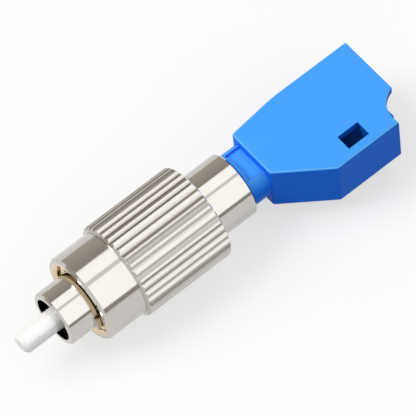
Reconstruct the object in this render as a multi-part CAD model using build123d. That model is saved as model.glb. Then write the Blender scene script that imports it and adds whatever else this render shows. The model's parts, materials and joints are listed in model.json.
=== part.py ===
"""Hybrid fibre adapter: a screw-on plug with a sprung ferrule at one end, a latch socket at the other.

+X runs along the optical axis to the tip of the plug, +Y is the latch side of the socket and +Z is one of its
flat faces.  The origin is on the axis, at the front face of the plug's key sleeve.  Sizes are in millimetres.
Round pieces are sized from the ferrule outwards, each by the wall, lip or gap that it adds to the last one.
"""

import os
from math import isclose, pi

from build123d import *

# Fits between pieces
press_gap = 0.01            # radial gap of a pressed or screwed joint
align_gap = 0.015           # radial gap between a ferrule and its split alignment sleeve
slide_gap = 0.1             # radial gap of turned pieces that slide on each other
stop_gap = 0.05             # axial gap left at each end stop

# Ferrules, fibre and their holder
fibre_d = 0.125
fibre_channel_d = 0.6
ferrule_d = 2.5
ferrule_length = 10.5
ferrule_protrusion = 4.3    # beyond the key sleeve
ferrule_rim = 0.4
small_ferrule_d = 1.25
small_ferrule_length = 7.0
small_ferrule_rim = 0.15
nose_wall = 0.5
nose_flat = 0.2             # depth of each of the two flats
nose_length = 3.2
stop_lip = 0.35             # collar that the spring pushes against the guide wall
stop_length = 1.6
tail_wall = 0.775
tail_gap = 0.3
float_travel = 0.8          # how far the ferrules can be pushed back
nose_d = ferrule_d + 2 * nose_wall
stop_d = nose_d + 2 * stop_lip
tail_d = small_ferrule_d + 2 * tail_wall
tail_bore_d = tail_d + 2 * tail_gap

# Ferrule spring
wire_d = 0.44
spring_gap = 0.15
spring_turns = 7

# Key sleeve, the turned front of the plug
sleeve_bore_lip = 0.3
sleeve_wall = 0.65
sleeve_length = 8.6         # from its front face to the flange
sleeve_bore_depth = 5.6
sleeve_rim = 0.2
guide_wall = 1.0            # wall behind the bore that stops the ferrule holder
flange_lip = 0.3
flange_thickness = 1.5
key_width = 2.0
key_setback = 2.9           # from the sleeve's front face to the front of the key
spigot_step = 0.1
spigot_grip = 4.2           # length of spigot inside the rear tube
spring_bore_d = stop_d + 2 * slide_gap
sleeve_bore_d = spring_bore_d + 2 * sleeve_bore_lip
sleeve_d = sleeve_bore_d + 2 * sleeve_wall
flange_d = sleeve_d + 2 * flange_lip
spigot_d = sleeve_d - 2 * spigot_step
spring_d = spring_bore_d - 2 * spring_gap

# Coupling nut with its split retaining ring
nut_gap = 0.15              # radial gap between the nut's thread and the flange
thread_depth = 0.4
thread_lead = 0.3           # chamfer at the mouth
ring_bite = 0.25            # how far the ring stands in its groove
ring_thickness = 0.8
ring_split = 1.8
ring_seat_depth = 5.6       # from the nut's rear face to the groove of the retaining ring
counterbore_step = 0.15
counterbore_depth = 4.6
nut_wall = 0.81             # left between the counterbore and the grooves of the knurl
groove_depth = 0.19
groove_root = 0.08
groove_over = 0.05          # how far the groove's cutter stands out of the grip
rib_crest = 0.16            # flat left on each rib
knurl_ribs = 36
knurl_length = 10.8
knurl_front_rim = 0.3
knurl_rear_rim = 0.12
collar_step = 0.5
collar_length = 4.7
collar_rim = 0.25
nut_travel = 2.3            # free slide of the nut along the plug
thread_minor_d = flange_d + 2 * nut_gap
thread_major_d = thread_minor_d + 2 * thread_depth
ring_d = thread_major_d + 2 * ring_bite
ring_groove_d = ring_d + 2 * slide_gap
counterbore_d = ring_groove_d + 2 * counterbore_step
knurl_d = counterbore_d + 2 * (nut_wall + groove_depth)
groove_top = pi * knurl_d / knurl_ribs - rib_crest
collar_d = knurl_d - 2 * collar_step
key_reach = thread_minor_d / 2 - nut_gap

# Rear tube, which joins the plug to the socket
tube_wall = 0.65
tube_length = 10.6
tube_rim = 0.2
socket_wall = 0.9           # round the housing's spigot
tube_d = spigot_d + 2 * tube_wall
tube_socket_d = tube_d - 2 * socket_wall

# Latch socket inside the housing
port_width = 4.66
port_depth = 12.0
port_lead = 0.3             # chamfer round the mouth
catch_rise = 2.11           # from the port's side to the underside of the latch catches
catch_front = 2.45          # from the mouth to the catches
catch_ramp = 1.15
catch_land = 1.65
catch_gap = 2.6             # between the two catches
window_length = 2.7         # the windows start behind the catches
window_height = 1.86
channel_tail = 1.45         # from the windows to the end of the latch channel
catch_floor = port_width / 2 + catch_rise
channel_top = catch_floor + window_height
catch_rear = catch_front + catch_ramp + catch_land
channel_depth = catch_rear + window_length + channel_tail

# Alignment sleeve and its seat
split_sleeve_wall = 0.17
split_sleeve_length = 6.8
split_sleeve_slot = 0.3
split_sleeve_play = 0.2     # spare length of its chamber
barrel_wall = 0.59
barrel_lip = 0.5
barrel_rim = 0.2
entry_gap = 0.1             # round a plug's ferrule at the barrel's lip
optical_setback = 1.4       # from the port's back wall to the meeting plane of the small ferrules
retainer_thickness = 0.8
retainer_gap = 0.125        # round the small ferrule
retainer_clearance = 0.2    # left behind the ferrule holder at full travel
split_sleeve_bore_d = small_ferrule_d + 2 * align_gap
split_sleeve_d = split_sleeve_bore_d + 2 * split_sleeve_wall
chamber_d = split_sleeve_d + 2 * slide_gap
barrel_d = chamber_d + 2 * barrel_wall

# Moulded housing
back_wall = 3.8             # behind the port
side_wall = 1.42
face_wall = 0.97
roof_wall = 1.0
latch_bend_wall = 0.85      # from the end of the latch channel to the bend of the latch side
plain_bend = 9.9            # from the mouth to the bend of the plain side
plain_round = 15.0
bend_round = 0.6
rear_round = 0.5
face_round = 0.35
scoop_radius = 2.97
scoop_inset = 0.76          # from the latch side wall to the scoop's centre
scoop_lead = 0.735          # from the scoop's centre to the mouth
neck_step = 0.6             # from the tube's wall in to the neck
neck_length = 2.3
neck_pocket_width = 3.8
neck_pocket_depth = 1.0
neck_pocket_rim = 0.4       # ring of neck left between the pocket and the tube
housing_spigot_length = 3.5
housing_length = port_depth + back_wall
housing_thickness = port_width + 2 * face_wall
plain_side = port_width / 2 + side_wall
latch_side = channel_top + roof_wall
latch_bend = channel_depth + latch_bend_wall
neck_d = tube_d - 2 * neck_step
rear_half_width = neck_d / 2
housing_spigot_d = tube_socket_d - 2 * press_gap

# Stations along the axis
flange_front_x = -sleeve_length
flange_rear_x = flange_front_x - flange_thickness
ring_front_x = flange_rear_x - stop_gap - nut_travel
ring_rear_x = ring_front_x - ring_thickness
tube_front_x = ring_rear_x - stop_gap
tube_rear_x = tube_front_x - tube_length
spigot_rear_x = tube_front_x - spigot_grip
body_rear_x = tube_rear_x - neck_length
mouth_x = body_rear_x - housing_length
housing_spigot_x = tube_rear_x + housing_spigot_length
nut_rear_x = ring_rear_x - stop_gap - ring_seat_depth
knurl_front_x = nut_rear_x + knurl_length
nut_front_x = knurl_front_x + collar_length
guide_front_x = -sleeve_bore_depth
guide_rear_x = guide_front_x - guide_wall
stop_front_x = guide_rear_x - stop_gap
stop_rear_x = stop_front_x - stop_length
nose_front_x = stop_front_x + nose_length
ferrule_rear_x = ferrule_protrusion - ferrule_length
optical_x = mouth_x + port_depth + optical_setback
chamber_front_x = optical_x - (split_sleeve_length + split_sleeve_play) / 2
chamber_rear_x = optical_x + (split_sleeve_length + split_sleeve_play) / 2
barrel_front_x = chamber_front_x - barrel_lip
retainer_rear_x = chamber_rear_x + retainer_thickness
tail_rear_x = retainer_rear_x + retainer_clearance + float_travel
small_ferrule_front_x = optical_x + small_ferrule_length


def bar(x_from, x_to, diameter):
    """Round bar along the optical axis between two stations."""
    length = x_to - x_from
    return Pos(X=x_from + length / 2) * Rot(Y=90) * Cylinder(diameter / 2, length)


def block(x_from, x_to, y_from, y_to, z_from, z_to):
    """Box between two corners."""
    corner_to_corner = Box(x_to - x_from, y_to - y_from, z_to - z_from)
    return Pos((x_from + x_to) / 2, (y_from + y_to) / 2, (z_from + z_to) / 2) * corner_to_corner


def break_rim(solid, x, diameter, size):
    """Chamfers the round edge of the given diameter at station x."""
    rounds = solid.edges().filter_by(GeomType.CIRCLE)
    rim = [e for e in rounds if isclose(e.center().X, x) and isclose(2 * e.radius, diameter)]
    return chamfer(rim, size)


def double_d_bar(x_from, x_to, diameter, flats):
    """Round bar with two flats, which keeps the ferrule holder from turning."""
    return bar(x_from, x_to, diameter) & block(x_from, x_to, -flats / 2, flats / 2, -diameter, diameter)


def key_sleeve():
    """Front of the plug: locating sleeve with its key, flange, spigot and the ferrule's guide wall."""
    sleeve = bar(flange_front_x, 0, sleeve_d)
    sleeve = break_rim(sleeve, 0, sleeve_d, sleeve_rim)
    key = block(flange_front_x, -key_setback, 0, key_reach, -key_width / 2, key_width / 2)
    flange = bar(flange_rear_x, flange_front_x, flange_d)
    spigot = bar(spigot_rear_x, flange_rear_x, spigot_d)
    hole_d = nose_d + 2 * slide_gap
    solid = sleeve + key + flange + spigot
    solid -= bar(guide_front_x, 0, sleeve_bore_d)
    solid -= double_d_bar(guide_rear_x, guide_front_x, hole_d, hole_d - 2 * nose_flat)
    solid -= bar(spigot_rear_x, guide_rear_x, spring_bore_d)
    return solid


def knurl_grooves():
    """Straight V grooves that leave the ribs of the nut's grip."""
    grip_r = knurl_d / 2
    flank_slope = (groove_top - groove_root) / (2 * groove_depth)
    half_top = groove_top / 2 + flank_slope * groove_over
    corners = [
        (grip_r - groove_depth, -groove_root / 2),
        (grip_r - groove_depth, groove_root / 2),
        (grip_r + groove_over, half_top),
        (grip_r + groove_over, -half_top),
    ]
    groove = make_face(Polyline(*corners, close=True))
    half_pitch = 180 / knurl_ribs
    section = Sketch() + [spot * groove for spot in PolarLocations(0, knurl_ribs, half_pitch)]
    return extrude(Plane.YZ.offset(nut_rear_x) * section, knurl_length)


def coupling_nut():
    """Knurled nut with a smooth collar, a bore at the thread's major size and the groove of its ring."""
    grip = bar(nut_rear_x, knurl_front_x, knurl_d)
    grip = break_rim(grip, nut_rear_x, knurl_d, knurl_rear_rim)
    grip = break_rim(grip, knurl_front_x, knurl_d, knurl_front_rim)
    collar = bar(knurl_front_x, nut_front_x, collar_d)
    collar = break_rim(collar, nut_front_x, collar_d, collar_rim)
    solid = grip + collar - knurl_grooves()
    solid -= bar(nut_rear_x, nut_rear_x + counterbore_depth, counterbore_d)
    solid -= bar(nut_rear_x, nut_front_x, thread_major_d)
    solid -= bar(ring_rear_x - stop_gap, ring_front_x + stop_gap, ring_groove_d)
    return break_rim(solid, nut_front_x, thread_major_d, thread_lead)


def retaining_ring():
    """Split ring in the nut's groove that bears on the flange and keeps the nut captive."""
    solid = bar(ring_rear_x, ring_front_x, ring_d)
    solid -= bar(ring_rear_x, ring_front_x, spigot_d + 2 * slide_gap)
    return solid - block(ring_rear_x, ring_front_x, -ring_split / 2, ring_split / 2, 0, ring_d)


def rear_tube():
    """Tube that is screwed on the spigot, seats the spring and holds the housing's spigot."""
    solid = bar(tube_rear_x, tube_front_x, tube_d)
    solid = break_rim(solid, tube_rear_x, tube_d, tube_rim)
    solid = break_rim(solid, tube_front_x, tube_d, tube_rim)
    solid -= bar(spigot_rear_x, tube_front_x, spigot_d + 2 * press_gap)
    solid -= bar(tube_rear_x, housing_spigot_x, tube_socket_d)
    return solid - bar(tube_rear_x, tube_front_x, tail_bore_d)


def ferrule_holder():
    """Long turned holder: nose and tail with a socket for a ferrule each, and the collar of the spring."""
    solid = double_d_bar(stop_front_x, nose_front_x, nose_d, nose_d - 2 * nose_flat)
    solid += bar(stop_rear_x, stop_front_x, stop_d)
    solid += bar(tail_rear_x, stop_rear_x, tail_d)
    solid -= bar(ferrule_rear_x, nose_front_x, ferrule_d + 2 * press_gap)
    solid -= bar(tail_rear_x, small_ferrule_front_x, small_ferrule_d + 2 * press_gap)
    return solid - bar(small_ferrule_front_x, ferrule_rear_x, fibre_channel_d)


def fc_ferrule():
    """Large ceramic ferrule of the plug, with its chamfered tip and the bore of the fibre."""
    solid = bar(ferrule_rear_x, ferrule_protrusion, ferrule_d)
    solid = break_rim(solid, ferrule_protrusion, ferrule_d, ferrule_rim)
    return solid - bar(ferrule_rear_x, ferrule_protrusion, fibre_d + 2 * press_gap)


def lc_ferrule():
    """Small ceramic ferrule that meets the one of a plug in the socket."""
    solid = bar(optical_x, small_ferrule_front_x, small_ferrule_d)
    solid = break_rim(solid, optical_x, small_ferrule_d, small_ferrule_rim)
    return solid - bar(optical_x, small_ferrule_front_x, fibre_d + 2 * press_gap)


def fibre():
    """Glass fibre from one ferrule's end face to the other's."""
    return bar(optical_x, ferrule_protrusion, fibre_d)


def ferrule_spring():
    """Coil spring between the holder's collar and the web of the rear tube."""
    first_x = spigot_rear_x + wire_d / 2 + stop_gap
    last_x = stop_rear_x - wire_d / 2 - stop_gap
    span = last_x - first_x
    coil_r = (spring_d - wire_d) / 2
    coil = Helix(span / spring_turns, span, coil_r, center=(first_x, 0, 0), direction=(1, 0, 0))
    wire = Plane(coil @ 0, z_dir=coil % 0) * Circle(wire_d / 2)
    return sweep(wire, path=coil, is_frenet=True)


def split_sleeve():
    """Slotted ceramic sleeve that lines up two small ferrules."""
    half = split_sleeve_length / 2
    solid = bar(optical_x - half, optical_x + half, split_sleeve_d)
    solid -= bar(optical_x - half, optical_x + half, split_sleeve_bore_d)
    slot = split_sleeve_slot / 2
    return solid - block(optical_x - half, optical_x + half, 0, split_sleeve_d, -slot, slot)


def sleeve_retainer():
    """Pressed bush that closes the chamber of the split sleeve."""
    solid = bar(chamber_rear_x, retainer_rear_x, tail_bore_d - 2 * press_gap)
    return solid - bar(chamber_rear_x, retainer_rear_x, small_ferrule_d + 2 * retainer_gap)


def housing_shell():
    """Outer form of the housing: a lopsided plan with a soft bend, rounded corners and rounded faces."""
    mouth_plain = (mouth_x, -plain_side)
    plain_corner = (mouth_x + plain_bend, -plain_side)
    rear_plain = (body_rear_x, -rear_half_width)
    rear_latch = (body_rear_x, rear_half_width)
    latch_corner = (mouth_x + latch_bend, latch_side)
    mouth_latch = (mouth_x, latch_side)
    plan = make_face(
        Polyline(mouth_plain, plain_corner, rear_plain, rear_latch, latch_corner, mouth_latch, close=True)
    )
    corner_rounds = {
        plain_corner: plain_round,
        rear_plain: rear_round,
        rear_latch: rear_round,
        latch_corner: bend_round,
    }
    for corner, radius in corner_rounds.items():
        plan = fillet(plan.vertices().sort_by_distance(corner)[0], radius)
    solid = extrude(plan, housing_thickness / 2, both=True)
    flats = solid.faces().filter_by(Axis.Z)
    rims = [e for e in flats.edges() if not isclose(e.center().X, mouth_x)]
    return fillet(rims, face_round)


def latch_catches():
    """Two ramped ledges at the sides of the channel, behind which a plug's latch snaps."""
    profile = Polyline(
        (mouth_x + catch_front, channel_top),
        (mouth_x + catch_front + catch_ramp, catch_floor),
        (mouth_x + catch_rear, catch_floor),
        (mouth_x + catch_rear, channel_top),
        close=True,
    )
    ledge = extrude(make_face(profile), port_width / 2, both=True)
    return ledge - block(mouth_x, body_rear_x, 0, latch_side, -catch_gap / 2, catch_gap / 2)


def socket_cavity():
    """Space of the plug in the housing: square bore, latch channel, chamfered mouth and the two windows."""
    half = port_width / 2
    space = block(mouth_x, mouth_x + port_depth, -half, half, -half, half)
    space += block(mouth_x, mouth_x + channel_depth, half, channel_top, -half, half)
    mouth = Rectangle(port_width + 2 * port_lead, port_width + 2 * port_lead)
    space += extrude(Plane.YZ.offset(mouth_x) * mouth, port_lead, taper=45)
    window_x = mouth_x + catch_rear
    window = block(
        window_x, window_x + window_length, catch_floor, channel_top, -housing_thickness, housing_thickness
    )
    return space - latch_catches() + window


def housing_neck():
    """Round neck behind the housing with a flat-floored pocket in each face, and the spigot in the tube."""
    neck = bar(body_rear_x, tube_rear_x, neck_d)
    half_width = neck_pocket_width / 2
    floor = neck_d / 2 - neck_pocket_depth
    pocket = block(body_rear_x, tube_rear_x - neck_pocket_rim, -half_width, half_width, floor, neck_d)
    return neck - pocket - mirror(pocket, Plane.XY) + bar(tube_rear_x, housing_spigot_x, housing_spigot_d)


def lc_housing():
    """Moulded socket with its alignment barrel, scooped mouth corner, neck and spigot."""
    scoop_y = latch_side - scoop_inset
    scoop = Pos(mouth_x - scoop_lead, scoop_y) * Cylinder(scoop_radius, 2 * housing_thickness)
    barrel = bar(barrel_front_x, mouth_x + port_depth, barrel_d)
    barrel = break_rim(barrel, barrel_front_x, barrel_d, barrel_rim)
    solid = housing_shell() - socket_cavity() - scoop + barrel + housing_neck()
    solid -= bar(barrel_front_x, chamber_front_x, small_ferrule_d + 2 * entry_gap)
    solid -= bar(chamber_front_x, chamber_rear_x, chamber_d)
    return solid - bar(chamber_rear_x, housing_spigot_x, tail_bore_d)


pieces = {
    "lc_housing": lc_housing,
    "split_sleeve": split_sleeve,
    "sleeve_retainer": sleeve_retainer,
    "rear_tube": rear_tube,
    "key_sleeve": key_sleeve,
    "nut_retaining_ring": retaining_ring,
    "coupling_nut": coupling_nut,
    "ferrule_holder": ferrule_holder,
    "fc_ferrule": fc_ferrule,
    "lc_ferrule": lc_ferrule,
    "fibre": fibre,
    "ferrule_spring": ferrule_spring,
}

os.makedirs("parts", exist_ok=True)
for name, make in pieces.items():
    export_step(make(), f"parts/{name}.step")
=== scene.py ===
"""Looks of the hybrid fibre adapter: plated metal, moulded plastic, ground ceramic and a pale studio."""

import json
import logging
import math
from abc import ABC, abstractmethod
from collections.abc import Iterator
from contextlib import contextmanager
from dataclasses import dataclass
from enum import Enum
from typing import Any, Protocol

import bpy
from bpy.types import Material, Node, NodeSocket, NodeTree, Object
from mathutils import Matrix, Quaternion, Vector

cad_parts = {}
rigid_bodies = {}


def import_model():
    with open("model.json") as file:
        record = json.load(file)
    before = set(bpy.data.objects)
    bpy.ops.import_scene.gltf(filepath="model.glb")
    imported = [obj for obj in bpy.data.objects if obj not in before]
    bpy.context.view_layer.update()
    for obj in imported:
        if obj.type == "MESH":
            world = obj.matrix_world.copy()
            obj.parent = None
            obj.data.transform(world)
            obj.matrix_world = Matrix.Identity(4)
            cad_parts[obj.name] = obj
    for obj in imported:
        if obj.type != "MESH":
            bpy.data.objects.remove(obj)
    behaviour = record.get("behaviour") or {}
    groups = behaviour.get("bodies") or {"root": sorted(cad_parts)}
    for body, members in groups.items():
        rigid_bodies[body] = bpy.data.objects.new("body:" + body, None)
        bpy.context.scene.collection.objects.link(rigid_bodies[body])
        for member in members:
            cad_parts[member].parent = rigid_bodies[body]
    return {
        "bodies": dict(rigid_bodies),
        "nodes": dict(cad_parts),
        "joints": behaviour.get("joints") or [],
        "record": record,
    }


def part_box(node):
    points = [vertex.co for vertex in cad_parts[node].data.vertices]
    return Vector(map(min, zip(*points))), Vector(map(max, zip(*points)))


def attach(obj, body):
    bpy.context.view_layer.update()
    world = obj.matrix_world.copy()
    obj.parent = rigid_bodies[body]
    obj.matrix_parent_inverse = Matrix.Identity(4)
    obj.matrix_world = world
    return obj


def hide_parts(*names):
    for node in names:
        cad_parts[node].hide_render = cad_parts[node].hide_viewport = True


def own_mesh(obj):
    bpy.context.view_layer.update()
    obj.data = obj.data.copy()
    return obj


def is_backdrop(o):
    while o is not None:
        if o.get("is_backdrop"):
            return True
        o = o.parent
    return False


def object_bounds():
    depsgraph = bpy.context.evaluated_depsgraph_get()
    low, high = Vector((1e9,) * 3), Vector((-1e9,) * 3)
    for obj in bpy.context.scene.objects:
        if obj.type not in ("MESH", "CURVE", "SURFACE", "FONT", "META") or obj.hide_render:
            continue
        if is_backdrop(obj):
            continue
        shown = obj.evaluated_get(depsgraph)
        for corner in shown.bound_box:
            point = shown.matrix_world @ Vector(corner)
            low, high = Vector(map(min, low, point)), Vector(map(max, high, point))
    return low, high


log = logging.getLogger("adapter")

MM = 0.001
WELD = 0.0005 * MM
SMOOTH_ANGLE = math.radians(35.0)
FLOOR_GAP = 0.02 * MM

# Places of the inputs and outputs that mix nodes use for colours and for numbers
MIX_COLOURS = (6, 7)
MIXED_COLOUR = 2
MIX_NUMBERS = (2, 3)
MIXED_NUMBER = 0

Colour = tuple[float, float, float]
Point = tuple[float, float, float]
Span = tuple[float, float]
Box = tuple[Point, Point]
Number = float | NodeSocket
Tone = Colour | NodeSocket
Frame = dict[str, Any]


class Body(Enum):
    """Rigid bodies of the adapter that new pieces ride on."""

    SOCKET = "socket"
    NUT = "nut"


class Slot(Enum):
    """Names of material slots that go with new pieces; nothing reads them."""

    NICKEL_PLATE = "nickel_plate"
    SPRING_STEEL = "spring_steel"


# Node trees


class NodeSheet:
    """Node tree of one material, with short calls to add nodes and join them."""

    def __init__(self, name: str) -> None:
        """Starts a material with its shader.

        Args:
            name: Name of the new material.
        """
        self.material = bpy.data.materials.new(name)
        self.material.use_nodes = True
        self.tree = self.material.node_tree
        self.shader = self.tree.nodes["Principled BSDF"]

    def add(self, kind: str, **settings: str) -> Node:
        """Adds a node.

        Args:
            kind: Type of the node.
            settings: Properties of the node to set.

        Returns:
            The new node.
        """
        node = self.tree.nodes.new(kind)
        for key, value in settings.items():
            setattr(node, key, value)
        return node

    def join(self, source: NodeSocket, target: NodeSocket) -> None:
        """Joins an output to an input."""
        self.tree.links.new(source, target)

    def feed(self, target: NodeSocket, value: Number | Tone) -> None:
        """Gives an input its value: a link to an output, or a plain number or colour.

        Args:
            target: The input.
            value: Output, number or colour for it.
        """
        if isinstance(value, NodeSocket):
            self.join(value, target)
        elif target.type == "RGBA":
            target.default_value = (*value, 1.0)
        else:
            target.default_value = value

    def set(self, socket: str, value: Number | Tone) -> None:
        """Gives the shader's input of that name its value."""
        self.feed(self.shader.inputs[socket], value)

    def math(self, operation: str, first: Number, second: Number = 0.0) -> NodeSocket:
        """Adds a math node.

        Args:
            operation: Name of the operation.
            first: First input.
            second: Second input, which some operations leave out.

        Returns:
            The node's output.
        """
        node = self.add("ShaderNodeMath", operation=operation)
        self.feed(node.inputs[0], first)
        self.feed(node.inputs[1], second)
        return node.outputs[0]

    def fold(self, operation: str, values: list[NodeSocket]) -> NodeSocket:
        """Folds values into one by a math operation, one after the other.

        Args:
            operation: Name of the operation.
            values: Outputs to fold, at least one.

        Returns:
            The result.
        """
        result = values[0]
        for value in values[1:]:
            result = self.math(operation, result, value)
        return result

    def position(self) -> NodeSocket:
        """Gives the place on the piece, in metres."""
        return self.add("ShaderNodeTexCoord").outputs["Object"]

    def coordinate(self, axis: str) -> NodeSocket:
        """Gives one coordinate of the place on the piece, in metres.

        Args:
            axis: Letter of the axis.

        Returns:
            The coordinate.
        """
        parts = self.add("ShaderNodeSeparateXYZ")
        self.join(self.position(), parts.inputs[0])
        return parts.outputs[axis]

    def radius(self) -> NodeSocket:
        """Gives the distance from the optical axis, in metres.

        Returns:
            The distance.
        """
        across = self.add("ShaderNodeVectorMath", operation="MULTIPLY")
        across.inputs[1].default_value = (0.0, 1.0, 1.0)
        self.join(self.position(), across.inputs[0])
        length = self.add("ShaderNodeVectorMath", operation="LENGTH")
        self.join(across.outputs[0], length.inputs[0])
        return length.outputs["Value"]

    def flatness(self) -> NodeSocket:
        """Gives how squarely the surface faces up or down.

        Returns:
            Output that is 0 on upright walls and 1 on flat faces.
        """
        parts = self.add("ShaderNodeSeparateXYZ")
        self.join(self.add("ShaderNodeTexCoord").outputs["Normal"], parts.inputs[0])
        return self.math("ABSOLUTE", parts.outputs["Z"])

    def cloud(self, grain: float, detail: float) -> NodeSocket:
        """Adds soft noise in space.

        Args:
            grain: Size of a patch, in metres.
            detail: Number of finer layers in the noise.

        Returns:
            The noise, from 0 to 1.
        """
        noise = self.add("ShaderNodeTexNoise")
        noise.inputs["Scale"].default_value = 1.0 / grain
        noise.inputs["Detail"].default_value = detail
        self.join(self.position(), noise.inputs["Vector"])
        return noise.outputs["Fac"]

    def rings(self, pitch: float, detail: float) -> NodeSocket:
        """Adds uneven rings round the axis, along bars and across end faces alike.

        Args:
            pitch: Mean spacing of the rings, in metres.
            detail: Number of finer layers in the noise.

        Returns:
            The noise, from 0 to 1.
        """
        along = self.math("ADD", self.coordinate("X"), self.radius())
        noise = self.add("ShaderNodeTexNoise", noise_dimensions="1D")
        noise.inputs["Scale"].default_value = 1.0 / pitch
        noise.inputs["Detail"].default_value = detail
        self.join(along, noise.inputs["W"])
        return noise.outputs["Fac"]

    def remap(self, value: NodeSocket, source: Span, result: Span) -> NodeSocket:
        """Stretches a value from one range to another, and stops at its ends.

        Args:
            value: Output to stretch.
            source: Range of the value.
            result: Range of the result.

        Returns:
            The stretched value.
        """
        node = self.add("ShaderNodeMapRange")
        node.inputs["From Min"].default_value, node.inputs["From Max"].default_value = source
        node.inputs["To Min"].default_value, node.inputs["To Max"].default_value = result
        self.join(value, node.inputs["Value"])
        return node.outputs["Result"]

    def step(self, value: NodeSocket, start: float, end: float) -> NodeSocket:
        """Turns a value into a smooth step.

        Args:
            value: Output to turn into the step.
            start: Value at which the step is 0.
            end: Value at which the step is 1.

        Returns:
            The step.
        """
        node = self.add("ShaderNodeMapRange", interpolation_type="SMOOTHSTEP")
        node.inputs["From Min"].default_value = start
        node.inputs["From Max"].default_value = end
        self.join(value, node.inputs["Value"])
        return node.outputs["Result"]

    def blend(self, share: NodeSocket, first: Tone, second: Tone) -> NodeSocket:
        """Mixes two colours.

        Args:
            share: Output with the share of the second colour.
            first: Colour at share 0.
            second: Colour at share 1.

        Returns:
            The mixed colour.
        """
        node = self.add("ShaderNodeMix", data_type="RGBA")
        self.join(share, node.inputs["Factor"])
        for place, tone in zip(MIX_COLOURS, (first, second)):
            self.feed(node.inputs[place], tone)
        return node.outputs[MIXED_COLOUR]

    def between(self, share: NodeSocket, first: Number, second: Number) -> NodeSocket:
        """Mixes two numbers.

        Args:
            share: Output with the share of the second number.
            first: Number at share 0.
            second: Number at share 1.

        Returns:
            The mixed number.
        """
        node = self.add("ShaderNodeMix", data_type="FLOAT")
        self.join(share, node.inputs["Factor"])
        for place, number in zip(MIX_NUMBERS, (first, second)):
            self.feed(node.inputs[place], number)
        return node.outputs[MIXED_NUMBER]

    def relief(self, height: NodeSocket, depth: float) -> None:
        """Raises the surface by a height pattern.

        Args:
            height: Output with the pattern, from 0 to 1.
            depth: Height of the pattern, in metres.
        """
        bump = self.add("ShaderNodeBump")
        bump.inputs["Distance"].default_value = depth
        self.join(height, bump.inputs["Height"])
        self.join(bump.outputs["Normal"], self.shader.inputs["Normal"])


# Finishes


class Finish(Protocol):
    """What every finish offers."""

    name: str

    def material(self) -> Material:
        """Makes the finish's material."""


@dataclass(frozen=True, kw_only=True)
class TurnedMetal:
    """Metal turned on a lathe, plated or bare."""

    name: str
    bright: Colour
    dull: Colour
    bore: Colour
    bore_radius: float
    smooth: float
    rough: float
    mark_pitch: float
    mark_depth: float
    mark_detail: float = 2.0
    haze_grain: float = 2.2 * MM
    haze_detail: float = 3.0
    wear_share: float = 0.5
    bore_blend: float = 0.1 * MM

    def tone(self, sheet: NodeSheet, haze: NodeSocket) -> NodeSocket:
        """Colours the metal: hazy patches, and a warmer tint deep in the bores.

        Args:
            sheet: Node tree of the material.
            haze: Noise of the hazy patches.

        Returns:
            The colour.
        """
        surface = sheet.blend(haze, self.bright, self.dull)
        outside = sheet.step(sheet.radius(), self.bore_radius, self.bore_radius + self.bore_blend)
        return sheet.blend(outside, self.bore, surface)

    def gloss(self, sheet: NodeSheet, wear: NodeSocket) -> NodeSocket:
        """Spreads the roughness by the wear noise."""
        return sheet.remap(wear, (0.0, 1.0), (self.smooth, self.rough))

    def material(self) -> Material:
        """Makes the metal, with its turning marks.

        Returns:
            The new material.
        """
        sheet = NodeSheet(self.name)
        haze = sheet.cloud(self.haze_grain, self.haze_detail)
        marks = sheet.rings(self.mark_pitch, self.mark_detail)
        wear = sheet.math("MULTIPLY", sheet.math("ADD", haze, marks), self.wear_share)
        sheet.set("Base Color", self.tone(sheet, haze))
        sheet.set("Roughness", self.gloss(sheet, wear))
        sheet.set("Metallic", 1.0)
        sheet.relief(marks, self.mark_depth)
        return sheet.material


@dataclass(frozen=True, kw_only=True)
class KnurledMetal(TurnedMetal):
    """Turned metal with a rolled knurl whose grooves are duller and painted darker as shade."""

    # painted shade: darker plate at the root of the knurl's grooves
    groove_shade: Colour
    groove_rough: float
    root_radius: float
    crest_radius: float
    wall: float
    knurl_front: float

    def crest(self, sheet: NodeSheet) -> NodeSocket:
        """Gives 0 at the root of the grooves and 1 on the ribs and off the knurl.

        Args:
            sheet: Node tree of the material.

        Returns:
            The share of the plain plate.
        """
        raised = sheet.step(sheet.radius(), self.root_radius, self.crest_radius)
        beyond = sheet.math("GREATER_THAN", sheet.coordinate("X"), self.knurl_front)
        inside = sheet.math("LESS_THAN", sheet.radius(), self.root_radius - self.wall)
        off_knurl = sheet.math("MAXIMUM", beyond, inside)
        return sheet.math("MAXIMUM", raised, off_knurl)

    def tone(self, sheet: NodeSheet, haze: NodeSocket) -> NodeSocket:
        """Colours the plate, with painted shade darkening the grooves of the knurl."""
        return sheet.blend(self.crest(sheet), self.groove_shade, super().tone(sheet, haze))

    def gloss(self, sheet: NodeSheet, wear: NodeSocket) -> NodeSocket:
        """Spreads the roughness by the wear noise, duller in the grooves."""
        return sheet.between(self.crest(sheet), self.groove_rough, super().gloss(sheet, wear))


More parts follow.
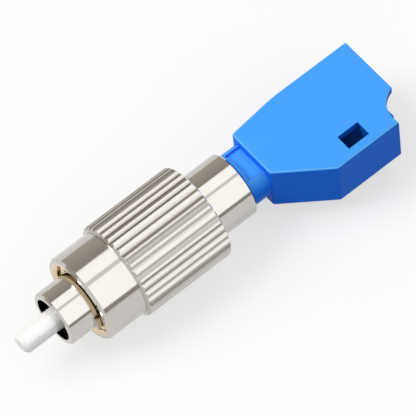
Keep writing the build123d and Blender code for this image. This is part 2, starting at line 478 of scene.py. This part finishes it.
@dataclass(frozen=True, kw_only=True)
class MouldedPlastic:
    """Injection-moulded plastic: grained faces, walls painted deeper as shade, rims painted paler as a
    highlight, and a matt inside painted dark as shade.
    """

    name: str
    face_pale: Colour
    face_deep: Colour
    # painted shade: deeper blue that upright walls get in place of the face colour
    wall: Colour
    # painted highlight: paler blue along the rounded edges
    rim_highlight: Colour
    # painted shade: dark blue inside the port and the window
    core: Colour
    shaded_core_boxes: tuple[Box, ...]
    smooth: float
    rough: float
    core_rough: float
    specular: float
    rim_end: float
    wall_end: float = 0.15
    rim_middle: float = 0.75
    rim_half: float = 0.2
    rim_highlight_share: float = 0.75
    flow_grain: float = 6.0 * MM
    skin_grain: float = 0.16 * MM
    skin_depth: float = 0.002 * MM
    grain_detail: float = 2.0
    ior: float = 1.5

    @staticmethod
    def in_box(sheet: NodeSheet, box: Box) -> NodeSocket:
        """Tests for places inside a box.

        Args:
            sheet: Node tree of the material.
            box: Lowest and highest corner of the box.

        Returns:
            Output that is 1 inside the box.
        """
        tests = []
        for axis, low, high in zip("XYZ", *box):
            place = sheet.coordinate(axis)
            tests.append(sheet.math("GREATER_THAN", place, low))
            tests.append(sheet.math("LESS_THAN", place, high))
        return sheet.fold("MULTIPLY", tests)

    def in_shaded_core(self, sheet: NodeSheet) -> NodeSocket:
        """Tests for places inside the boxes of the mould's cores, where dark shade is painted.

        Args:
            sheet: Node tree of the material.

        Returns:
            Output that is 1 inside a box.
        """
        return sheet.fold("MAXIMUM", [self.in_box(sheet, box) for box in self.shaded_core_boxes])

    def skin_tone_with_painted_light(self, sheet: NodeSheet) -> NodeSocket:
        """Colours the outside: slow flow on the faces, walls painted deeper as shade and rims painted
        paler as a highlight up to the neck.

        Args:
            sheet: Node tree of the material.

        Returns:
            The colour.
        """
        flow = sheet.cloud(self.flow_grain, self.grain_detail)
        face = sheet.blend(flow, self.face_pale, self.face_deep)
        flatness = sheet.flatness()
        # painted shade: upright walls take the deeper wall colour, flat faces the paler face colour
        face_light_share = sheet.step(flatness, self.wall_end, self.rim_middle)
        body = sheet.blend(face_light_share, self.wall, face)
        # painted highlight: the rounded edges between faces and walls are painted paler, except on the
        # neck
        off_middle = sheet.math("ABSOLUTE", sheet.math("SUBTRACT", flatness, self.rim_middle))
        on_rim_highlight = sheet.remap(off_middle, (0.0, self.rim_half), (self.rim_highlight_share, 0.0))
        off_neck = sheet.math("LESS_THAN", sheet.coordinate("X"), self.rim_end)
        return sheet.blend(sheet.math("MULTIPLY", on_rim_highlight, off_neck), body, self.rim_highlight)

    def material(self) -> Material:
        """Makes the plastic, with a fine grained skin and a matt core side painted dark as shade.

        Returns:
            The new material.
        """
        sheet = NodeSheet(self.name)
        grain = sheet.cloud(self.skin_grain, self.grain_detail)
        # painted shade: the inside of the port and the window is painted dark blue, and is matt
        core = self.in_shaded_core(sheet)
        sheet.set("Base Color", sheet.blend(core, self.skin_tone_with_painted_light(sheet), self.core))
        satin = sheet.remap(grain, (0.0, 1.0), (self.smooth, self.rough))
        sheet.set("Roughness", sheet.between(core, satin, self.core_rough))
        sheet.set("IOR", self.ior)
        sheet.set("Specular IOR Level", self.specular)
        sheet.relief(grain, self.skin_depth)
        return sheet.material


@dataclass(frozen=True, kw_only=True)
class GroundCeramic:
    """Dense white ceramic, ground round and polished."""

    name: str
    white: Colour
    ivory: Colour
    ior: float = 2.15
    smooth: float = 0.1
    rough: float = 0.22
    grain: float = 0.5 * MM
    grain_detail: float = 2.0
    glow_depth: float = 0.6 * MM
    glow_share: float = 0.15
    grind_pitch: float = 0.09 * MM
    grind_depth: float = 0.0006 * MM
    grind_detail: float = 1.0

    def material(self) -> Material:
        """Makes the ceramic: faint ivory patches, light within and very fine grinding rings.

        Returns:
            The new material.
        """
        sheet = NodeSheet(self.name)
        patch = sheet.cloud(self.grain, self.grain_detail)
        grind = sheet.rings(self.grind_pitch, self.grind_detail)
        sheet.set("Base Color", sheet.blend(patch, self.white, self.ivory))
        sheet.set("Roughness", sheet.remap(grind, (0.0, 1.0), (self.smooth, self.rough)))
        sheet.set("IOR", self.ior)
        sheet.set("Subsurface Weight", self.glow_share)
        sheet.set("Subsurface Radius", (self.glow_depth, self.glow_depth, self.glow_depth))
        sheet.set("Subsurface Scale", 1.0)
        sheet.relief(grind, self.grind_depth)
        return sheet.material


@dataclass(frozen=True, kw_only=True)
class ClearGlass:
    """Clear glass of the fibre."""

    name: str
    tint: Colour
    edge: Colour
    core_radius: float
    edge_radius: float
    roughness: float = 0.05
    ior: float = 1.46
    clearness: float = 0.6

    def material(self) -> Material:
        """Makes the glass, a little brighter at its core.

        Returns:
            The new material.
        """
        sheet = NodeSheet(self.name)
        outside = sheet.step(sheet.radius(), self.core_radius, self.edge_radius)
        sheet.set("Base Color", sheet.blend(outside, self.tint, self.edge))
        sheet.set("Roughness", self.roughness)
        sheet.set("IOR", self.ior)
        sheet.set("Transmission Weight", self.clearness)
        return sheet.material


PLATE_BRIGHT = (0.58, 0.56, 0.535)
PLATE_DULL = (0.52, 0.50, 0.47)

# Spaces that the mould's cores leave in the socket, painted dark inside as shade
PORT_CORE = ((-41.9 * MM, -2.6 * MM, -2.6 * MM), (-31.0 * MM, 6.36 * MM, 2.6 * MM))
WINDOW_CORE = ((-36.85 * MM, 4.35 * MM, -3.12 * MM), (-33.95 * MM, 6.40 * MM, 3.12 * MM))

NICKEL = TurnedMetal(
    name="bright_nickel_plate",
    bright=PLATE_BRIGHT,
    dull=PLATE_DULL,
    bore=(0.62, 0.50, 0.33),
    bore_radius=2.4 * MM,
    smooth=0.05,
    rough=0.15,
    mark_pitch=0.14 * MM,
    mark_depth=0.0012 * MM,
)
NUT_NICKEL = KnurledMetal(
    name="nut_nickel_plate",
    bright=PLATE_BRIGHT,
    dull=PLATE_DULL,
    bore=(0.74, 0.60, 0.40),
    bore_radius=4.45 * MM,
    smooth=0.05,
    rough=0.16,
    mark_pitch=0.16 * MM,
    mark_depth=0.0014 * MM,
    # painted shade: darker plate at the root of the knurl's grooves
    groove_shade=(0.44, 0.42, 0.39),
    groove_rough=0.25,
    root_radius=5.32 * MM,
    crest_radius=5.46 * MM,
    wall=0.1 * MM,
    knurl_front=-8.0 * MM,
)
STAINLESS = TurnedMetal(
    name="turned_stainless",
    bright=(0.60, 0.59, 0.57),
    dull=(0.50, 0.49, 0.47),
    bore=(0.34, 0.33, 0.32),
    bore_radius=0.6 * MM,
    smooth=0.2,
    rough=0.36,
    mark_pitch=0.1 * MM,
    mark_depth=0.0015 * MM,
)
SPRING_STEEL = TurnedMetal(
    name="drawn_spring_steel",
    bright=(0.52, 0.51, 0.50),
    dull=(0.38, 0.37, 0.36),
    bore=(0.30, 0.29, 0.28),
    bore_radius=0.4 * MM,
    smooth=0.24,
    rough=0.42,
    mark_pitch=0.12 * MM,
    mark_depth=0.0012 * MM,
)
BLUE = MouldedPlastic(
    name="blue_moulding",
    face_pale=(0.070, 0.370, 0.96),
    face_deep=(0.056, 0.340, 0.93),
    # painted shade: deeper blue for the upright walls
    wall=(0.008, 0.180, 0.93),
    # painted highlight: paler blue for the rounded edges
    rim_highlight=(0.22, 0.60, 1.0),
    # painted shade: dark blue inside the port and the window
    core=(0.006, 0.11, 0.50),
    shaded_core_boxes=(PORT_CORE, WINDOW_CORE),
    smooth=0.28,
    rough=0.38,
    core_rough=0.6,
    specular=0.035,
    rim_end=-26.2 * MM,
)
ZIRCONIA = GroundCeramic(
    name="white_zirconia",
    white=(0.98, 0.98, 0.975),
    ivory=(0.965, 0.96, 0.945),
)
FIBRE = ClearGlass(
    name="fibre_glass",
    tint=(0.96, 0.98, 1.0),
    edge=(0.72, 0.78, 0.82),
    core_radius=0.01 * MM,
    edge_radius=0.02 * MM,
)


class Palette:
    """Materials of the adapter, each made once."""

    def __init__(self) -> None:
        """Starts with no material."""
        self.made: dict[str, Material] = {}

    def get(self, finish: Finish) -> Material:
        """Gives a finish's material, which the first call makes.

        Args:
            finish: The finish.

        Returns:
            Its material.
        """
        if finish.name not in self.made:
            self.made[finish.name] = finish.material()
        return self.made[finish.name]


# Modelled pieces


class Workshop:
    """Modelling steps that the pieces share."""

    @staticmethod
    def clear_selection() -> None:
        """Leaves edit mode and deselects everything."""
        if bpy.context.object and bpy.context.object.mode != "OBJECT":
            bpy.ops.object.mode_set(mode="OBJECT")
        bpy.ops.object.select_all(action="DESELECT")

    @staticmethod
    def settle(piece: Object) -> None:
        """Puts a piece's place, turn and scale into its mesh, and leaves it alone selected.

        Args:
            piece: The piece.
        """
        Workshop.clear_selection()
        piece.select_set(True)
        bpy.context.view_layer.objects.active = piece
        bpy.ops.object.transform_apply(location=True, rotation=True, scale=True)

    @staticmethod
    @contextmanager
    def editing(piece: Object) -> Iterator[None]:
        """Opens a piece in edit mode with everything selected, and closes it again.

        Args:
            piece: The piece.

        Yields:
            Nothing, while the piece is open.
        """
        bpy.context.view_layer.objects.active = piece
        bpy.ops.object.mode_set(mode="EDIT")
        bpy.ops.mesh.select_all(action="SELECT")
        yield
        bpy.ops.object.mode_set(mode="OBJECT")

    @staticmethod
    def wind(piece: Object, pitch: float, turns: int, steps: int) -> None:
        """Winds a profile round the optical axis, as a screw that moves forward.

        Args:
            piece: The profile, settled where the screw starts.
            pitch: Advance of one turn.
            turns: Number of turns.
            steps: Steps in one turn.
        """
        screw = piece.modifiers.new("screw", "SCREW")
        screw.axis = "X"
        screw.angle = 2 * math.pi
        screw.screw_offset = pitch
        screw.iterations = turns
        screw.steps = steps
        screw.render_steps = steps
        bpy.ops.object.modifier_apply(modifier=screw.name)

    @staticmethod
    def close(piece: Object) -> None:
        """Welds a wound piece, closes its ends and turns its faces outwards.

        Args:
            piece: The piece, which is the selected one.
        """
        with Workshop.editing(piece):
            bpy.ops.mesh.remove_doubles(threshold=WELD)
            bpy.ops.mesh.fill_holes(sides=0)
            bpy.ops.mesh.select_all(action="SELECT")
            bpy.ops.mesh.normals_make_consistent(inside=False)
        bpy.ops.object.shade_smooth_by_angle(angle=SMOOTH_ANGLE)

    @staticmethod
    def dress(piece: Object, material: Material) -> None:
        """Gives a piece one material all over."""
        piece.data.materials.clear()
        piece.data.materials.append(material)


@dataclass
class NutThread:
    """Screw thread inside the mouth of the coupling nut."""

    pitch: float = 0.75 * MM
    turns: int = 6
    crest_radius: float = 3.62 * MM
    root_radius: float = 4.04 * MM
    front_x: float = -4.1 * MM
    crest_flat: float = 0.06 * MM
    foot_share: float = 0.9
    steps: int = 72

    def build(self) -> Object:
        """Models the thread: a three-sided ridge with a flat crest, wound on a screw.

        Returns:
            The finished piece.
        """
        Workshop.clear_selection()
        height = self.root_radius - self.crest_radius
        middle = (self.front_x - self.pitch * self.turns, self.root_radius - height / 3, 0.0)
        bpy.ops.mesh.primitive_circle_add(
            vertices=3, radius=2 * height / 3, location=middle, rotation=(0.0, 0.0, math.pi)
        )
        piece = bpy.context.object
        piece.name = "nut_thread"
        Workshop.settle(piece)
        self.shape_profile(piece)
        Workshop.wind(piece, self.pitch, self.turns, self.steps)
        Workshop.close(piece)
        return piece

    def shape_profile(self, piece: Object) -> None:
        """Sets the width of the ridge's foot from the pitch and flattens its crest.

        Args:
            piece: The three-cornered profile.
        """
        stations = [v.co.x for v in piece.data.vertices]
        stretch = self.foot_share * self.pitch / (max(stations) - min(stations))
        with Workshop.editing(piece):
            bpy.ops.mesh.select_mode(type="VERT")
            bpy.ops.transform.resize(value=(stretch, 1.0, 1.0))
            bpy.ops.mesh.select_all(action="DESELECT")
        crest = min(piece.data.vertices, key=lambda v: v.co.y)
        crest.select = True
        bpy.ops.object.mode_set(mode="EDIT")
        bpy.ops.mesh.bevel(offset=self.crest_flat, offset_type="OFFSET", affect="VERTICES")
        bpy.ops.object.mode_set(mode="OBJECT")


@dataclass
class CoilSpring:
    """Compression spring behind the ferrule holder, with closed and ground ends.

    The rise of an end turn, and the place of the wire's tip inside the ground end, are in wire diameters.
    """

    wire: float = 0.44 * MM
    turns: int = 8
    end_rise: float = 1.06
    tip_offset: float = -0.35
    steps: int = 40
    sides: int = 14

    def build(self, low: Vector, high: Vector) -> Object:
        """Models the spring in the space it fills, wound from the rear.

        Args:
            low: Lowest corner of that space.
            high: Highest corner of that space.

        Returns:
            The finished piece.
        """
        Workshop.clear_selection()
        start = (low.x, high.z - self.wire / 2, 0.0)
        bpy.ops.mesh.primitive_circle_add(vertices=self.sides, radius=self.wire / 2, location=start)
        piece = bpy.context.object
        piece.name = "closed_coil_spring"
        Workshop.settle(piece)
        pitch = (high.x - low.x) / self.turns
        Workshop.wind(piece, pitch, self.turns, self.steps)
        for vertex in piece.data.vertices:
            turn = vertex.index // self.sides / self.steps
            vertex.co.x += self.station(turn, low.x, high.x) - (low.x + pitch * turn)
        Workshop.close(piece)
        self.grind(piece, low.x, high.x)
        return piece

    def station(self, turn: float, rear_x: float, front_x: float) -> float:
        """Gives the wire's place along the axis: slow in the end turns, even between them.

        Args:
            turn: Number of turns from the rear tip.
            rear_x: Place of the ground rear end.
            front_x: Place of the ground front end.

        Returns:
            Place of the wire's middle.
        """
        rise = self.wire * self.end_rise
        first = rear_x + self.wire * self.tip_offset
        last = front_x - self.wire * self.tip_offset
        if turn <= 1:
            return first + rise * turn
        if turn >= self.turns - 1:
            return last - rise * (self.turns - turn)
        climb = (last - first - 2 * rise) / (self.turns - 2)
        return first + rise + climb * (turn - 1)

    def grind(self, piece: Object, rear_x: float, front_x: float) -> None:
        """Cuts both ends flat.

        Args:
            piece: The wound spring.
            rear_x: Place of the rear end.
            front_x: Place of the front end.
        """
        for place, side in ((rear_x, -1.0), (front_x, 1.0)):
            with Workshop.editing(piece):
                bpy.ops.mesh.bisect(
                    plane_co=(place, 0.0, 0.0),
                    plane_no=(side, 0.0, 0.0),
                    use_fill=True,
                    clear_outer=True,
                    threshold=WELD,
                )
                bpy.ops.mesh.select_all(action="SELECT")
                bpy.ops.mesh.normals_make_consistent(inside=False)


# Sub-assemblies


@dataclass
class Assembly(ABC):
    """Sub-assembly of the adapter, which finishes its solids and may add fine pieces."""

    frame: Frame
    palette: Palette

    def build(self) -> list[Object]:
        """Models the sub-assembly's own new pieces, where it has any."""
        return []

    @abstractmethod
    def dress(self) -> None:
        """Finishes the sub-assembly's solids."""

    def finish(self, node: str, finish: Finish) -> None:
        """Gives a solid its finish."""
        Workshop.dress(self.frame["nodes"][node], self.palette.get(finish))

    def fit(self, piece: Object, finish: Finish, body: Body, slot: Slot) -> None:
        """Finishes a new piece and sets it on its body.

        Args:
            piece: The piece.
            finish: Its finish.
            body: Body that carries it.
            slot: Material slot that its finish belongs to; not used.
        """
        Workshop.dress(piece, self.palette.get(finish))
        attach(piece, body.value)


class LatchSocket(Assembly):
    """Blue moulded housing with its alignment sleeve."""

    def dress(self) -> None:
        """Colours the moulding and finishes the ceramic sleeve and its bush."""
        self.finish("lc_housing", BLUE)
        self.finish("split_sleeve", ZIRCONIA)
        self.finish("sleeve_retainer", NICKEL)


class PlugBody(Assembly):
    """Key sleeve and rear tube, the fixed metal of the plug, and its spring."""

    def dress(self) -> None:
        """Plates the turned pieces."""
        self.finish("key_sleeve", NICKEL)
        self.finish("rear_tube", NICKEL)

    def build(self) -> list[Object]:
        """Models the spring in the space of the CAD spring, which it hides.

        Returns:
            The new pieces.
        """
        low, high = (Vector(corner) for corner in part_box("ferrule_spring"))
        spring = CoilSpring().build(low, high)
        self.fit(spring, SPRING_STEEL, Body.SOCKET, Slot.SPRING_STEEL)
        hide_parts("ferrule_spring")
        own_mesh(spring)
        return [spring]


class FerruleTrain(Assembly):
    """Holder with both ferrules and the fibre through them."""

    def dress(self) -> None:
        """Finishes the holder, the ceramic and the glass."""
        self.finish("ferrule_holder", STAINLESS)
        self.finish("fc_ferrule", ZIRCONIA)
        self.finish("lc_ferrule", ZIRCONIA)
        self.finish("fibre", FIBRE)


class CouplingNut(Assembly):
    """Knurled nut with its thread and its hidden retaining ring."""

    def dress(self) -> None:
        """Plates the nut and finishes its ring."""
        self.finish("coupling_nut", NUT_NICKEL)
        self.finish("nut_retaining_ring", SPRING_STEEL)

    def build(self) -> list[Object]:
        """Models the thread and sets it on the nut.

        Returns:
            The new pieces.
        """
        thread = NutThread().build()
        self.fit(thread, NUT_NICKEL, Body.NUT, Slot.NICKEL_PLATE)
        return [thread]


# Studio


@dataclass(frozen=True, kw_only=True)
class SoftPanel:
    """Soft rectangular lamp overhead, turned to the adapter."""

    name: str
    tilt: float
    length: float
    width: float
    radiance: float
    ahead: float = 0.0
    distance: float = 0.9

    def build(self) -> Object:
        """Hangs the lamp at its tilt from straight up towards the latch side.

        Returns:
            The lamp.
        """
        lamp = bpy.data.lights.new(self.name, "AREA")
        lamp.shape = "RECTANGLE"
        lamp.size = self.length
        lamp.size_y = self.width
        lamp.energy = self.radiance * math.pi * self.length * self.width
        panel = bpy.data.objects.new(self.name, lamp)
        bpy.context.scene.collection.objects.link(panel)
        turn = math.radians(self.tilt)
        above = self.distance * math.cos(turn)
        panel.location = Vector((self.ahead, self.distance * math.sin(turn), above))
        panel.rotation_euler = panel.location.to_track_quat("Z", "Y").to_euler()
        panel.visible_camera = False
        return panel


@dataclass(frozen=True, kw_only=True)
class SideCard:
    """Dim warm card that stands on the floor beside the adapter and shades the metal."""

    name: str
    side_y: float
    height: float
    top_glow: float
    foot_glow: float
    length: float = 3.0
    colour: Colour = (1.0, 0.91, 0.81)

    def build(self, floor_z: float) -> Object:
        """Stands the card on the floor, darker towards its top.

        Args:
            floor_z: Height of the floor.

        Returns:
            The card.
        """
        Workshop.clear_selection()
        middle = (0.0, self.side_y, floor_z + self.height / 2)
        bpy.ops.mesh.primitive_plane_add(size=1.0, location=middle, rotation=(math.pi / 2, 0.0, 0.0))
        card = bpy.context.object
        card.name = self.name
        card.scale = (self.length, self.height, 1.0)
        Workshop.settle(card)
        card.visible_camera = False
        sheet = NodeSheet(self.name)
        rise = (floor_z, floor_z + self.height)
        glow = sheet.remap(sheet.coordinate("Z"), rise, (self.foot_glow, self.top_glow))
        sheet.set("Base Color", (0.0, 0.0, 0.0))
        sheet.set("Specular IOR Level", 0.0)
        sheet.set("Emission Color", self.colour)
        sheet.set("Emission Strength", glow)
        Workshop.dress(card, sheet.material)
        card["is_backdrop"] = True
        return card


@dataclass
class Studio:
    """Pale floor, soft lamps, side cards, a white surround and the camera."""

    floor_z: float
    floor_size: float = 6.0
    floor_seen: Colour = (0.94, 0.94, 0.94)
    floor_bounce: Colour = (0.16, 0.16, 0.16)
    floor_glow: float = 0.6
    surround: float = 0.22
    panels: tuple[SoftPanel, ...] = (
        SoftPanel(name="panel_plain", tilt=-14.5, length=1.8, width=0.57, radiance=0.7),
        SoftPanel(name="panel_latch", tilt=45.5, length=1.8, width=1.15, radiance=0.7),
        SoftPanel(
            name="panel_key", tilt=-27.5, length=0.55, width=0.55, radiance=5.3, ahead=0.45, distance=0.78
        ),
    )
    cards: tuple[SideCard, ...] = (
        SideCard(name="card_plain", side_y=-0.62, height=1.08, top_glow=0.36, foot_glow=0.58),
        SideCard(name="card_latch", side_y=0.9, height=0.19, top_glow=0.40, foot_glow=0.40),
    )
    target: Point = (-19.97 * MM, 0.43 * MM, 0.0)
    azimuth: float = 147.1
    elevation: float = 59.8
    roll: float = -7.8
    distance: float = 0.533
    lens: float = 453.0
    nearest: float = 0.01

    @staticmethod
    def seen_directly(tree: NodeTree) -> NodeSocket:
        """Adds a test for rays from the camera, from gloss or through glass.

        Args:
            tree: Node tree to add it to.

        Returns:
            Output that is 1 for those rays.
        """
        path = tree.nodes.new("ShaderNodeLightPath")
        total = path.outputs["Is Camera Ray"]
        for name in ("Is Glossy Ray", "Is Transmission Ray"):
            larger = tree.nodes.new("ShaderNodeMath")
            larger.operation = "MAXIMUM"
            tree.links.new(total, larger.inputs[0])
            tree.links.new(path.outputs[name], larger.inputs[1])
            total = larger.outputs[0]
        return total

    def build_floor(self) -> Object:
        """Lays a wide floor under the nut, pale to the eye and grey to bounced light.

        Returns:
            The floor.
        """
        Workshop.clear_selection()
        bpy.ops.mesh.primitive_plane_add(size=self.floor_size, location=(0.0, 0.0, self.floor_z))
        floor = bpy.context.object
        floor.name = "studio_floor"
        sheet = NodeSheet("studio_floor")
        seen = self.seen_directly(sheet.tree)
        sheet.set("Base Color", sheet.blend(seen, self.floor_bounce, self.floor_seen))
        sheet.set("Roughness", 1.0)
        sheet.set("Specular IOR Level", 0.0)
        glow = sheet.add("ShaderNodeEmission")
        lifted = sheet.add("ShaderNodeMixShader")
        sheet.join(sheet.math("MULTIPLY", seen, self.floor_glow), lifted.inputs[0])
        sheet.join(sheet.shader.outputs[0], lifted.inputs[1])
        sheet.join(glow.outputs[0], lifted.inputs[2])
        sheet.join(lifted.outputs[0], sheet.tree.nodes["Material Output"].inputs["Surface"])
        Workshop.dress(floor, sheet.material)
        floor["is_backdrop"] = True
        return floor

    def build_surround(self) -> None:
        """Surrounds the floor by white that lights the adapter only a little."""
        world = bpy.data.worlds.new("studio_surround")
        world.use_nodes = True
        bpy.context.scene.world = world
        tree = world.node_tree
        strength = tree.nodes.new("ShaderNodeMapRange")
        strength.inputs["To Min"].default_value = self.surround
        strength.inputs["To Max"].default_value = 1.0
        tree.links.new(self.seen_directly(tree), strength.inputs["Value"])
        glow = tree.nodes["Background"]
        glow.inputs["Color"].default_value = (1.0, 1.0, 1.0, 1.0)
        tree.links.new(strength.outputs["Result"], glow.inputs["Strength"])

    def build_camera(self) -> Object:
        """Sets the camera where the photograph was taken from.

        Returns:
            The camera.
        """
        turn = math.radians(self.azimuth)
        rise = math.radians(self.elevation)
        level = Vector((math.sin(turn), -math.cos(turn), 0.0))
        back = level * math.cos(rise) + Vector((0.0, 0.0, math.sin(rise)))
        lens = bpy.data.cameras.new("camera")
        lens.lens = self.lens
        lens.clip_start = self.nearest
        camera = bpy.data.objects.new("camera", lens)
        bpy.context.scene.collection.objects.link(camera)
        camera.location = Vector(self.target) + back * self.distance
        upright = (-back).to_track_quat("-Z", "Y")
        camera.rotation_mode = "QUATERNION"
        camera.rotation_quaternion = upright @ Quaternion((0.0, 0.0, 1.0), math.radians(self.roll))
        bpy.context.scene.camera = camera
        return camera

    def build(self) -> None:
        """Sets up the whole studio."""
        self.build_floor()
        self.build_surround()
        for panel in self.panels:
            panel.build()
        for card in self.cards:
            card.build(self.floor_z)
        self.build_camera()
        bpy.context.scene.view_settings.view_transform = "Standard"


def main() -> None:
    """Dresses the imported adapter, adds its fine detail and sets up the studio."""
    logging.basicConfig(level=logging.INFO, format="%(name)s: %(message)s")
    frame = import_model()
    cad_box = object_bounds()
    lowest, _ = cad_box
    palette = Palette()
    for kind in (LatchSocket, PlugBody, FerruleTrain, CouplingNut):
        assembly = kind(frame, palette)
        assembly.dress()
        log.info("dressed %s", kind.__name__)
        for piece in assembly.build():
            log.info("built %s with %d faces", piece.name, len(piece.data.polygons))
    Studio(floor_z=lowest.z - FLOOR_GAP).build()


if __name__ == "__main__":
    main()
